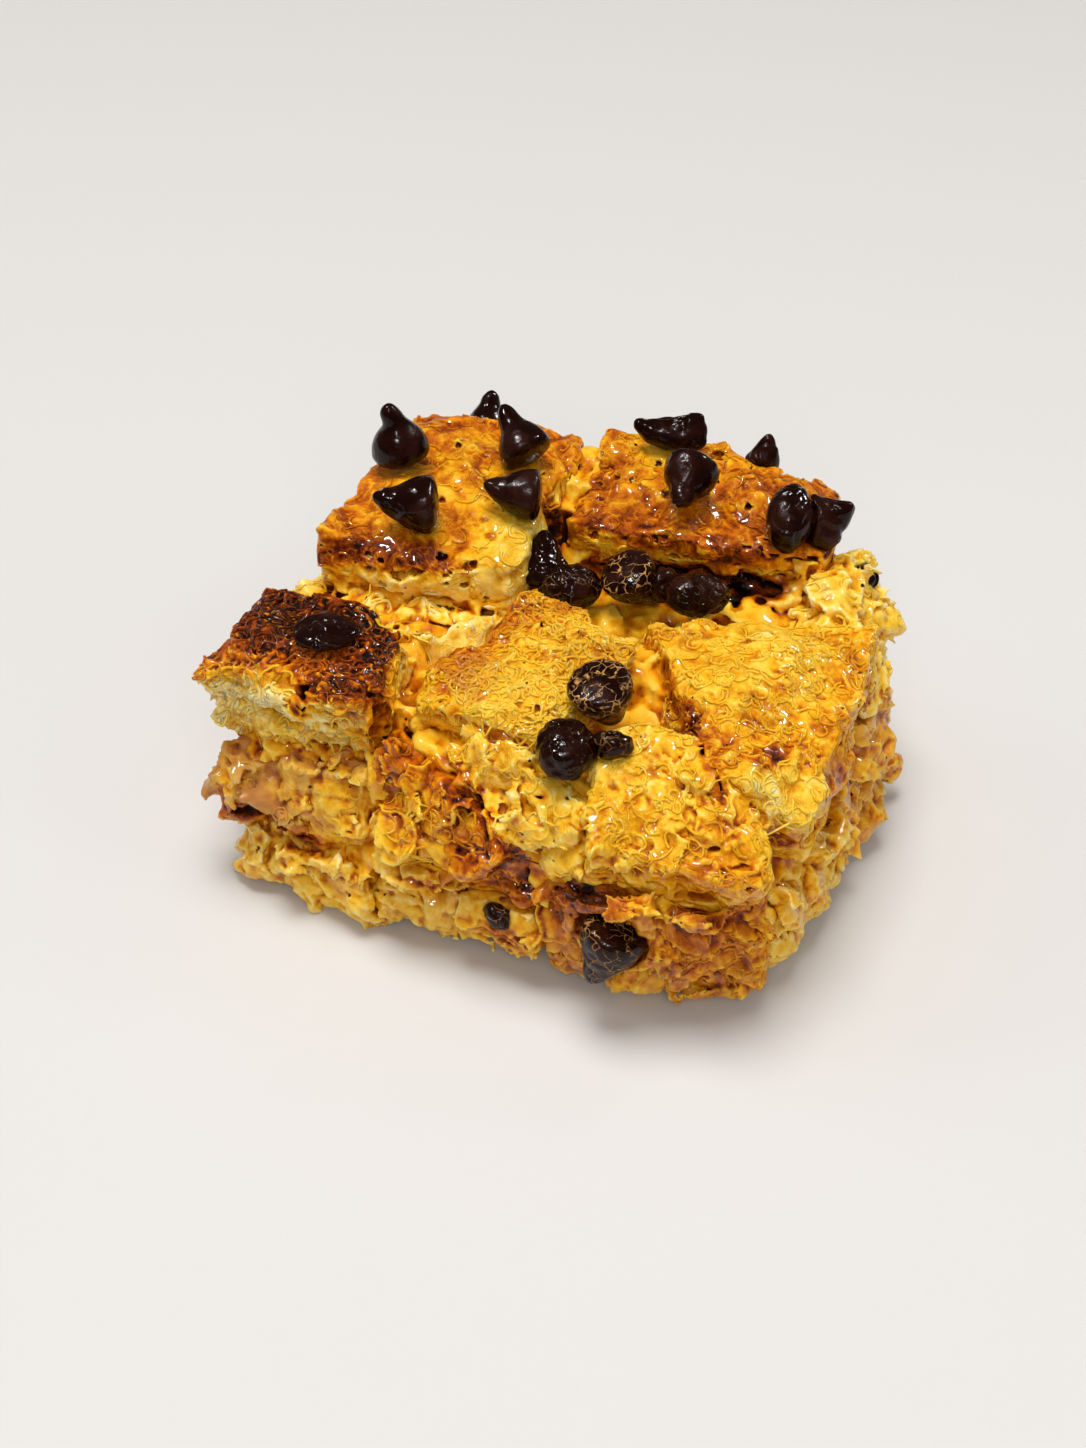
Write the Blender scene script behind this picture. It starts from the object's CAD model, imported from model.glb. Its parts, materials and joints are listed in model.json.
# %% [markdown]
# # A square of bread pudding with chocolate chips
# Cubes and slabs of torn bread are baked in custard, and chocolate chips melt on top and in between.
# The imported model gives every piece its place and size, as plain rounded solids.
# This lesson gives them their looks: torn, porous, browned bread, wet custard and glossy chocolate.
# Each solid of bread or custard becomes the core of a density field in Geometry Nodes, because a field
# can carry pores, overhanging petals and curly strands, which moving the points of a mesh can't.

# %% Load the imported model
import json
import math
import bmesh
import bpy
import numpy as np
from mathutils import Matrix, Vector
from mathutils.bvhtree import BVHTree

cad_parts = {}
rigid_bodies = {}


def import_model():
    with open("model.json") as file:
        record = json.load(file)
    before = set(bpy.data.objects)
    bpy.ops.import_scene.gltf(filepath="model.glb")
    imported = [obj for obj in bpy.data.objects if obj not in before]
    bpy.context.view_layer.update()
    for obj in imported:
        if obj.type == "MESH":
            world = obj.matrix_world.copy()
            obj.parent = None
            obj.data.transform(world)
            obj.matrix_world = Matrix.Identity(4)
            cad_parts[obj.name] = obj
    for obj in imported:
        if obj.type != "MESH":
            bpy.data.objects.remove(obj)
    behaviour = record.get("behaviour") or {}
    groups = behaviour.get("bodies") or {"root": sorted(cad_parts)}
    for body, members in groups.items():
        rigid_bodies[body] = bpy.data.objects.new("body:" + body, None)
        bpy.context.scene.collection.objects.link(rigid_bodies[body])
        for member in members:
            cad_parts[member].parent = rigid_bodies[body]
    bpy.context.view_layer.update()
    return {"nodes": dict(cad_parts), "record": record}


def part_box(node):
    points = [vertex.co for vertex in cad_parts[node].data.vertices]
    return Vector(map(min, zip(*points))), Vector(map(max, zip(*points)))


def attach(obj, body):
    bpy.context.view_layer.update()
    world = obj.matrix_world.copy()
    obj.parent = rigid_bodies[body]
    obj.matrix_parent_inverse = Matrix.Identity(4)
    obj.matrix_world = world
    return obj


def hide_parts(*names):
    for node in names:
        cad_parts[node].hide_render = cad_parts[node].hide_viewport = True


for leftover in list(bpy.data.objects):
    bpy.data.objects.remove(leftover, do_unlink=True)
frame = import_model()
MM = 0.001

# %% [markdown]
# ## Camera
# The camera looks down on one corner of the square, from a third of a metre away. A target point and
# two angles are easier to read and to adjust than a matrix of numbers.

# %% Camera
AZIMUTH = math.radians(28)
ELEVATION = math.radians(39)
CAMERA_DISTANCE = 326.6 * MM
AIM_FROM_CUSTARD = Vector((-0.70, -3.36, 2.25)) * MM
AIM_SIDEWAYS = -2.51 * MM
AIM_UPWARDS = -1.33 * MM


def middle_of(node):
    """The middle of a node's box."""
    low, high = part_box(node)
    return (low + high) / 2


BACK = Vector((math.sin(AZIMUTH) * math.cos(ELEVATION),
               -math.cos(AZIMUTH) * math.cos(ELEVATION),
               math.sin(ELEVATION)))
RIGHT = Vector((math.cos(AZIMUTH), math.sin(AZIMUTH), 0))
UP = BACK.cross(RIGHT)
lens = bpy.data.cameras.new("camera")
lens.lens = 55
lens.sensor_width = 36
lens.clip_start = 0.01
camera = bpy.data.objects.new("camera", lens)
bpy.context.scene.collection.objects.link(camera)
bpy.context.scene.camera = camera
eye = middle_of("custard_block") + AIM_FROM_CUSTARD + BACK * CAMERA_DISTANCE
eye += RIGHT * AIM_SIDEWAYS + UP * AIM_UPWARDS
turn = Matrix((RIGHT, UP, BACK)).transposed().to_4x4()
camera.matrix_world = Matrix.Translation(eye) @ turn
print("camera at", [round(v / MM, 1) for v in eye], "mm")

# %% [markdown]
# ## Chips, bread and custard
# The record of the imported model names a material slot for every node, and this sorts the nodes.

# %% Which nodes are what
SLOT_OF = {part["node"]: part["material_slot"] for part in frame["record"]["subparts"]}
CHIP_NODES = [node for node, slot in SLOT_OF.items() if slot == "chocolate"]
SOFT_NODES = [node for node, slot in SLOT_OF.items() if slot != "chocolate"]
BREAD_NODES = [node for node in SOFT_NODES if node != "custard_block"]
print(len(CHIP_NODES), "chips,", len(BREAD_NODES), "pieces of bread")

# %% [markdown]
# ## Wiring nodes
# Both the shapes and the finishes are node trees, and a tree written out link by link is hard to read.
# One small helper adds a node, fills its inputs and hands back its output, so that a tree reads like a
# sum. The same helper serves Geometry Nodes and shaders, because both have the maths and noise nodes.

# %% A helper for node trees


class Wiring:
    """Adds nodes to one tree and joins them."""

    def __init__(self, tree):
        self.tree = tree

    def node(self, kind, inputs=(), **settings):
        """Adds a node with its settings, and feeds the inputs that are named or numbered."""
        made = self.tree.nodes.new(kind)
        for name, value in settings.items():
            setattr(made, name, value)
        for name, value in dict(inputs).items():
            self.feed(made.inputs[name], value)
        return made

    def feed(self, socket, value):
        """Links value into the socket if it is an output, and sets it if it is a number."""
        if isinstance(value, bpy.types.NodeSocket):
            self.tree.links.new(value, socket)
        else:
            socket.default_value = value

    def math(self, operation, *values, clamp=False):
        made = self.node("ShaderNodeMath", operation=operation, use_clamp=clamp)
        for socket, value in zip(made.inputs, values):
            self.feed(socket, value)
        return made.outputs[0]

    def times(self, *values):
        return self.math("MULTIPLY", *values)

    def plus(self, *values):
        return self.math("ADD", *values)

    def minus(self, *values):
        return self.math("SUBTRACT", *values)

    def vector(self, operation, first, second=None):
        made = self.node("ShaderNodeVectorMath", {0: first}, operation=operation)
        if second is not None:
            self.feed(made.inputs["Scale" if operation == "SCALE" else 1], second)
        return made.outputs["Value" if operation == "DOT_PRODUCT" else "Vector"]

    def moved(self, vector, step):
        return self.vector("ADD", vector, step)

    def scaled(self, vector, share):
        return self.vector("SCALE", vector, share)

    def split(self, vector):
        return self.node("ShaderNodeSeparateXYZ", {0: vector}).outputs

    def named(self, name, kind):
        """The value of a mark on the shape that is looked at."""
        found = self.node("GeometryNodeInputNamedAttribute", {"Name": name}, data_type=kind)
        return found.outputs["Attribute"]

    def sampled(self, shape, value, spot, kind):
        """A value of the shape at its surface point nearest to the spot."""
        sample = self.node("GeometryNodeSampleNearestSurface",
                           {"Mesh": shape, "Value": value, "Sample Position": spot}, data_type=kind)
        return sample.outputs["Value"]

    def nearest(self, shape, **place):
        """The distance to the nearest face of a shape, and the point there."""
        return self.node("GeometryNodeProximity", {0: shape, **place}, target_element="FACES").outputs

    def per_metre(self, size):
        """A texture's scale for a feature of that size."""
        if isinstance(size, bpy.types.NodeSocket):
            return self.math("DIVIDE", 1.0, size)
        return 1 / size

    def noise(self, vector, size, detail=2.0, curl=0.0, output="Fac"):
        made = self.node("ShaderNodeTexNoise", {"Vector": vector, "Scale": self.per_metre(size),
                                                "Detail": detail, "Distortion": curl})
        return made.outputs[output]

    def wobble(self, vector, size, detail, reach):
        """An arrow of noise, up to half the reach long along each axis."""
        colour = self.noise(vector, size, detail, 0.0, "Color")
        return self.scaled(self.vector("SUBTRACT", colour, (0.5, 0.5, 0.5)), reach)

    def cells(self, vector, size, **settings):
        cells = {"Vector": vector, "Scale": self.per_metre(size)}
        return self.node("ShaderNodeTexVoronoi", cells, **settings).outputs

    def span(self, value, low, high, to_low=0.0, to_high=1.0):
        """Maps low..high to to_low..to_high with soft ends."""
        ends = {"Value": value, "From Min": low, "From Max": high, "To Min": to_low, "To Max": to_high}
        return self.node("ShaderNodeMapRange", ends, interpolation_type="SMOOTHSTEP").outputs[0]

    def centred(self, value, reach):
        """Turns 0..1 into -reach..reach."""
        return self.times(self.minus(value, 0.5), self.times(reach, 2.0))


# %% [markdown]
# ## The core of each piece
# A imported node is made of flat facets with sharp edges. A coarse voxel remesh and a little smoothing
# turn a copy into an even, closed core. The core also carries marks that steer the tearing: how openly
# each point shows, how much crust it has, and which way is outwards. A few short rays from each point
# give the first one, so that faces pressed together stay quiet.

# %% Cores with marks
CORE_GRAIN = 0.8 * MM
CORE_SMOOTHING = 4
LOOK_REACH = 6 * MM
LOOK_START = 0.15 * MM
LOOK_LEAN = 1.1
LOOK_SHARE = 0.2
JOINED_WITHIN = 0.01 * MM
QUIET = 0.55


def settled(worker):
    """A plain mesh of what the worker's modifiers make. The worker is removed."""
    graph = bpy.context.evaluated_depsgraph_get()
    mesh = bpy.data.meshes.new_from_object(worker.evaluated_get(graph))
    bpy.data.objects.remove(worker, do_unlink=True)
    return mesh


def worker_from(mesh, name):
    """A new object in the scene that holds the mesh."""
    made = bpy.data.objects.new(name, mesh)
    bpy.context.scene.collection.objects.link(made)
    return made


def mesh_of(work, name):
    """A new mesh from the work, which is freed."""
    mesh = bpy.data.meshes.new(name)
    work.to_mesh(mesh)
    work.free()
    return mesh


def merged_copy(nodes, name):
    """One mesh of several nodes, with their loose triangles joined."""
    work = bmesh.new()
    for node in nodes:
        work.from_mesh(frame["nodes"][node].data)
    bmesh.ops.remove_doubles(work, verts=work.verts, dist=JOINED_WITHIN)
    return mesh_of(work, name)


def numbers_of(items, field, width):
    """One field of all the items, as rows of numbers."""
    found = np.empty(len(items) * width, np.float32)
    items.foreach_get(field, found)
    return found.reshape(-1, width)


def points_of(mesh):
    """The places of a mesh's points."""
    return numbers_of(mesh.vertices, "co", 3)


def normals_of(mesh):
    """The arrows that stand on a mesh's points."""
    return numbers_of(mesh.vertex_normals, "vector", 3)


def smooth(low, high, values):
    """Rises from 0 to 1 between low and high, with soft ends."""
    share = np.clip((values - low) / (high - low), 0, 1)
    return share * share * (3 - 2 * share)


def mark(mesh, name, values):
    """Stores one number for each point."""
    found = mesh.attributes.get(name) or mesh.attributes.new(name, "FLOAT", "POINT")
    found.data.foreach_set("value", np.asarray(values, np.float32))


def mark_arrows(mesh, name, arrows):
    """Stores one arrow for each point."""
    found = mesh.attributes.get(name) or mesh.attributes.new(name, "FLOAT_VECTOR", "POINT")
    found.data.foreach_set("vector", np.asarray(arrows, np.float32).ravel())


def marked(mesh, name):
    """The numbers that were stored for the points."""
    return numbers_of(mesh.attributes[name].data, "value", 1).ravel()


def tree_of(nodes):
    """A search tree over the surfaces of several nodes."""
    points, faces = [], []
    for node in nodes:
        mesh = frame["nodes"][node].data
        start = len(points)
        points += [v.co.copy() for v in mesh.vertices]
        faces += [[start + k for k in p.vertices] for p in mesh.polygons]
    return BVHTree.FromPolygons(points, faces)


def openness(mesh, neighbours):
    """The share of a few looks outwards from each point that no neighbour stops."""
    blocked = tree_of(neighbours)
    seen = np.zeros(len(mesh.vertices))
    for index, vertex in enumerate(mesh.vertices):
        aside = vertex.normal.orthogonal().normalized() * LOOK_LEAN
        across = vertex.normal.cross(aside)
        start = vertex.co + vertex.normal * LOOK_START
        for lean in (Vector(), aside, -aside, across, -across):
            if blocked.ray_cast(start, (vertex.normal + lean).normalized(), LOOK_REACH)[0] is None:
                seen[index] += LOOK_SHARE
    return seen


def core_of(node, neighbours, crust_way, crust_spread=(0.45, 0.85)):
    """The rounded core of a node, with its marks."""
    worker = worker_from(merged_copy([node], node), node + "_core")
    even = worker.modifiers.new("even", "REMESH")
    even.mode = "VOXEL"
    even.voxel_size = CORE_GRAIN
    worker.modifiers.new("round", "SMOOTH").iterations = CORE_SMOOTHING
    mesh = settled(worker)
    shown = QUIET + (1 - QUIET) * smooth(0.1, 0.7, openness(mesh, neighbours))
    facing = normals_of(mesh) @ np.array(Vector(crust_way).normalized())
    # One arrow carries two numbers. Its third place is only filled.
    mark_arrows(mesh, "marks", np.stack([shown, smooth(*crust_spread, facing), shown], 1))
    mark_arrows(mesh, "outward", normals_of(mesh))
    return mesh


def joined_copy(nodes, name):
    """One object that holds copies of several nodes. It only serves to measure distances."""
    mesh = merged_copy(nodes, name)
    mark_arrows(mesh, "outward", normals_of(mesh))
    return worker_from(mesh, name)


# %% [markdown]
# ## Hollows and cracks
# Where the slabs lie loose on each other, dark gaps open under their edges, and the crumb is cracked
# beside them. Each gap is a long or flat ball, placed in the box of the node that it belongs to, and it
# says how dark the crumb bakes inside it. The balls are never seen: they are taken out of everything
# around them.

# %% Hollows and cracks


def hollow(node, at, radii, way=(1, 0, 0), dark=1.0):
    """A ball with three radii in mm, at a place in a node's box, its first radius along the way."""
    return dict(node=node, at=at, radii=radii, way=way, dark=dark)


HOLLOWS = (
    hollow("toast_slab_right", (0.58, 0.15, 0.13), (18, 4.6, 2.3), (0.96, 0.28, -0.03)),
    hollow("toast_slab_right", (0.04, 0.10, 0.50), (3.6, 3.2, 4.0)),
    hollow("toast_slab_left", (0.55, 0.09, 0.02), (15, 2.8, 0.8), (0.96, 0.28, 0.0), 0.7),
    hollow("wide_slab_right", (0.52, 0.09, 0.86), (9.0, 0.30, 2.6), (0.67, -0.74, -0.08), 0.8),
    hollow("wide_slab_right", (0.24, 0.37, 0.90), (5.0, 0.25, 1.8), (0.61, -0.79, 0.0), 0.8),
    hollow("wide_slab_right", (0.78, 0.17, 0.88), (1.8, 0.7, 0.6), (0.6, -0.5, -0.1)),
    hollow("wide_slab_right", (0.73, 0.12, 0.84), (1.0, 0.6, 0.6), (0.2, 0.8, 0.0), 0.6),
    hollow("wide_slab_right", (1.04, 0.12, 0.40), (4.4, 3.4, 2.0), (0.0, 1.0, 0.2), 0.25),
    hollow("wide_slab_right", (1.03, 0.38, 0.48), (5.4, 3.0, 1.8), (0.0, 1.0, -0.15), 0.25),
    hollow("wide_slab_right", (1.02, 0.62, 0.36), (4.0, 3.0, 1.6), (0.0, 1.0, 0.2), 0.25),
    hollow("wide_slab_right", (0.88, -0.02, 0.38), (4.0, 1.8, 1.4), (1.0, 0.2, 0.1), 0.35),
    hollow("dark_crust_cube", (0.64, 0.07, 0.80), (1.1, 1.2, 0.8)),
    hollow("dark_crust_cube", (0.63, 0.05, 0.69), (0.8, 1.0, 0.6)),
    hollow("dark_crust_cube", (0.46, 0.00, 0.50), (7.5, 1.8, 1.1), (1.0, 0.0, -0.08), 0.15),
    hollow("dark_crust_cube", (0.99, 0.26, 0.52), (4.4, 1.8, 2.8), (0.0, 0.2, 1.0), 0.45),
    hollow("pale_slab_under_toast", (0.62, 0.25, 0.92), (7.0, 1.2, 0.5), (0.9, 0.4, 0.0), 0.5),
    hollow("left_front_cube", (0.42, 0.04, 0.20), (8.0, 3.4, 1.4), (1.0, 0.0, -0.06)),
    hollow("left_front_cube", (0.45, 0.08, 0.98), (12.0, 2.2, 1.0), (1.0, 0.0, 0.10), 0.3),
    hollow("leaning_slice", (0.40, 0.16, 0.42), (11.0, 1.8, 0.8), (0.82, -0.24, -0.52), 0.8),
    hollow("leaning_slice", (0.64, 0.36, 0.72), (1.1, 0.6, 0.8), dark=0.8),
    hollow("near_corner_crumb", (0.50, 0.04, 0.92), (7.6, 2.8, 1.3), (0.98, 0.15, 0.10), 0.25),
    hollow("torn_corner_shred", (0.50, 0.30, 1.00), (5.0, 2.8, 1.5), (0.9, 0.4, 0.0), 0.3),
    hollow("curly_cube", (0.05, 0.05, 0.20), (2.6, 2.2, 1.8), (0.9, 0.3, -0.2), 0.5),
    hollow("low_front_wedge", (0.5, 0.04, 0.95), (8.0, 1.6, 0.7), (1.0, 0.1, 0.05), 0.5),
    hollow("chip_near_front", (0.45, 0.45, 0.62), (6.0, 5.0, 5.2), dark=0.4),
)
HOLLOW_STEPS = 2


def hollow_balls():
    """One object with all the hollows."""
    work = bmesh.new()
    for gap in HOLLOWS:
        low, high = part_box(gap["node"])
        centre = Vector([a + (b - a) * share for a, b, share in zip(low, high, gap["at"])])
        turned = Vector(gap["way"]).to_track_quat("X", "Z").to_matrix().to_4x4()
        sized = Matrix.Diagonal([radius * MM for radius in gap["radii"]] + [1.0])
        bmesh.ops.create_icosphere(work, subdivisions=HOLLOW_STEPS, radius=1.0,
                                   matrix=Matrix.Translation(centre) @ turned @ sized)
    mesh = mesh_of(work, "hollows")
    mark_arrows(mesh, "outward", normals_of(mesh))
    each = len(mesh.vertices) // len(HOLLOWS)
    mark(mesh, "dark", np.repeat([gap["dark"] for gap in HOLLOWS], each))
    return worker_from(mesh, "hollows")


hollows = hollow_balls()
print(len(HOLLOWS), "hollows")

# %% [markdown]
# ## Torn crumb
# Soaked bread tears into petals that overlap like scales, over a net of curly gluten strands with
# bubbles in it. The tree below adds these as distances to the distance from the core:
#
# - wander: space itself is bent by slow noise, the same for all pieces, so that the straight seams of
#   the solids turn crooked and neighbours still meet; round the chips it fades out,
# - lumps: slow noise,
# - petals: each cell of a warped Voronoi pattern is tilted its own way, mostly outwards at its foot,
#   so that neighbours meet at a ragged step,
# - strands: thin ridges along the middle value of a curled noise,
# - pores: bubbles of random size, cut out of the rest, as the hollows are.
#
# Volume Cube turns the sum into a cloud, and Volume to Mesh takes its skin.

# %% Numbers for the torn crumb
# Field: the space round a core, how soft its skin is, and how much it grows.
FIELD_MARGIN = 4.5 * MM
SOFT_STEP = 0.25
SKIN_DENSITY = 0.5
GROWN = 0.30 * MM
FLOOR_LEVEL = 0.05 * MM
SMALLEST_ISLAND = 400
# Wander: pairs of a size and a reach, and the distances over which it sets in.
WANDERS = ((9.0 * MM, 2.0 * MM), (2.8 * MM, 0.8 * MM))
WANDER_FROM_CHIP = (0.5 * MM, 5.0 * MM)
WANDER_FROM_FLOOR = (0.5 * MM, 6.0 * MM)
# Petals: how their pattern is warped, and how they lean.
SLOW_WARP = (4.5 * MM, 5.0 * MM)
FINE_WARP_SIZE = 1.3 * MM
PETAL_DROOP = 0.7
OUTWARD_LEAN = 0.25
SMALL_PETAL = 0.34
SMALL_PETAL_DEPTH = 0.22
QUIET_BY_CHIP = (2.5 * MM, 0.35)
# Strands: how many lie side by side, how wide and high they are, and where the patches of them lie.
STRANDS_IN_A_CURL = 4.5
STRAND_TURNS = 5.0
STRAND_EDGE = 0.75
STRAND_LEVEL = 0.4
STRAND_PATCH = 7.0 * MM
STRAND_PATCHES = (0.38, 0.6, 0.25, 1.0)
# Pores: their radius in cells, how the cells are squeezed, and where there are none.
BIGGEST_PORE = 0.6
FEW_LARGE_PORES = 3.0
PORE_FRAY = 0.5
FLAT_PORES = (0.75, 0.75, 1.5)
CRUST_OVER_PORES = 1.5 * MM
PORE_REACH = -2.6 * MM
NO_PORES = 5 * MM
# Hollows, and the bread that is taken out of the custard.
HOLLOW_ROUGHNESS = 0.35
HOLLOW_WANDER = 0.5
HOLLOW_FRAY = 0.6
PIT_SHADE = 1.4 * MM
BREAD_OVERLAP = 0.45 * MM
# How far a point stands out: blur steps for the broad and the fine rise, and their scale.
RISE_STEPS = 14
FINE_RISE_STEPS = 3
RISE_SCALE = 0.34
print("skin and crumbs: islands under", SMALLEST_ISLAND, "points fall away")

# %% [markdown]
# The trees share a few steps: a signed distance from a closed shape, a skin round a field, the wave
# that makes strands, and a common end.

# %% Steps that the trees share


def new_tree(name, kind, inputs, outputs):
    """A node group with named sockets, its wiring, its group input and its group output."""
    tree = bpy.data.node_groups.new(name, kind)
    for title, socket_kind in inputs:
        tree.interface.new_socket(title, in_out="INPUT", socket_type=socket_kind)
    for title, socket_kind in outputs:
        tree.interface.new_socket(title, in_out="OUTPUT", socket_type=socket_kind)
    wiring = Wiring(tree)
    return tree, wiring, wiring.node("NodeGroupInput").outputs, wiring.node("NodeGroupOutput").inputs


NUMBER = "NodeSocketFloat"
WHOLE = "NodeSocketInt"
ARROW = "NodeSocketVector"
SHAPE = "NodeSocketGeometry"
FINISH = "NodeSocketMaterial"
COLOUR = "NodeSocketColor"
THING = "NodeSocketObject"
FIELD_SOCKETS = [("Low", ARROW), ("High", ARROW), ("Grain", NUMBER), ("Cells X", WHOLE),
                 ("Cells Y", WHOLE), ("Cells Z", WHOLE)]


def distance_from(w, core, spot):
    """The distance from a core at a spot, below nought inside, and the outward arrow there."""
    nearest = w.nearest(core, **{"Source Position": spot})
    outward = w.sampled(core, w.named("outward", "FLOAT_VECTOR"), spot, "FLOAT_VECTOR")
    apart = w.vector("SUBTRACT", spot, nearest["Position"])
    side = w.math("SIGN", w.vector("DOT_PRODUCT", apart, outward))
    return w.times(nearest["Distance"], side), outward


def shape_of(w, thing):
    """The shape of an object that a tree was given."""
    info = w.node("GeometryNodeObjectInfo", {"Object": thing}, transform_space="ORIGINAL")
    return info.outputs["Geometry"]


def cloud_skin(w, body, given):
    """The skin of what lies above nought in a field of distances, given the box and its cells."""
    steep = w.math("DIVIDE", w.times(body, SOFT_STEP), given["Grain"])
    box = {"Density": w.math("ADD", steep, SKIN_DENSITY, clamp=True), "Min": given["Low"],
           "Max": given["High"], **{f"Resolution {axis}": given[f"Cells {axis}"] for axis in "XYZ"}}
    skin = {"Volume": w.node("GeometryNodeVolumeCube", box).outputs[0], "Threshold": SKIN_DENSITY}
    return w.node("GeometryNodeVolumeToMesh", skin, resolution_mode="GRID").outputs[0]


def strand_wave(w, place, size, curl):
    """A wave that is nought along the middle of each strand."""
    combed = w.noise(place, w.times(size, STRANDS_IN_A_CURL), 1.0, curl)
    return w.math("ABSOLUTE", w.math("SINE", w.times(combed, STRANDS_IN_A_CURL * STRAND_TURNS)))


def finished(w, shape, finish):
    """The end of every tree: smooth shading, nothing left as instances, and the finish."""
    soft = w.node("GeometryNodeSetShadeSmooth", {0: shape}).outputs[0]
    real = w.node("GeometryNodeRealizeInstances", {0: soft}).outputs[0]
    return w.node("GeometryNodeSetMaterial", {"Geometry": real, "Material": finish}).outputs[0]


# %% [markdown]
# With these steps the tree for torn crumb is a sum of distances. The custard uses it as well, with the
# bread taken out.

# %% Bread and custard as fields
TEAR_NUMBERS = ("Lump size", "Lump depth", "Petal size", "Petal depth", "Fray", "Strand size",
                "Strand depth", "Curl", "Pore size", "Pore share", "Crust calm", "Grown", "Seed")


def petals_of(w, ragged, outward, size, depth):
    """Tilted scales of one size over the surface, as a distance."""
    upright = w.minus(1.0, w.math("ABSOLUTE", w.split(outward)[2]))
    down = w.node("FunctionNodeInputVector", vector=(0, 0, -1)).outputs[0]
    petal = w.cells(ragged, size)
    lean = w.moved(w.vector("SUBTRACT", petal["Color"], (0.5, 0.5, 0.5)),
                   w.scaled(down, w.times(upright, PETAL_DROOP)))
    lean = w.vector("NORMALIZE", w.moved(lean, w.scaled(outward, OUTWARD_LEAN)))
    tilt = w.vector("DOT_PRODUCT", w.vector("SUBTRACT", ragged, petal["Position"]), lean)
    return w.times(w.math("DIVIDE", tilt, size), w.times(depth, 2.0))


def rise(w, here, grain, steps):
    """How far a point stands out from its blurred surroundings, in grains."""
    level = w.node("GeometryNodeBlurAttribute", {"Value": here, "Iterations": steps},
                   data_type="FLOAT_VECTOR").outputs[0]
    normal = w.node("GeometryNodeInputNormal").outputs[0]
    lifted = w.vector("DOT_PRODUCT", w.vector("SUBTRACT", here, level), normal)
    return w.times(w.math("DIVIDE", lifted, grain), RISE_SCALE)


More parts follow.
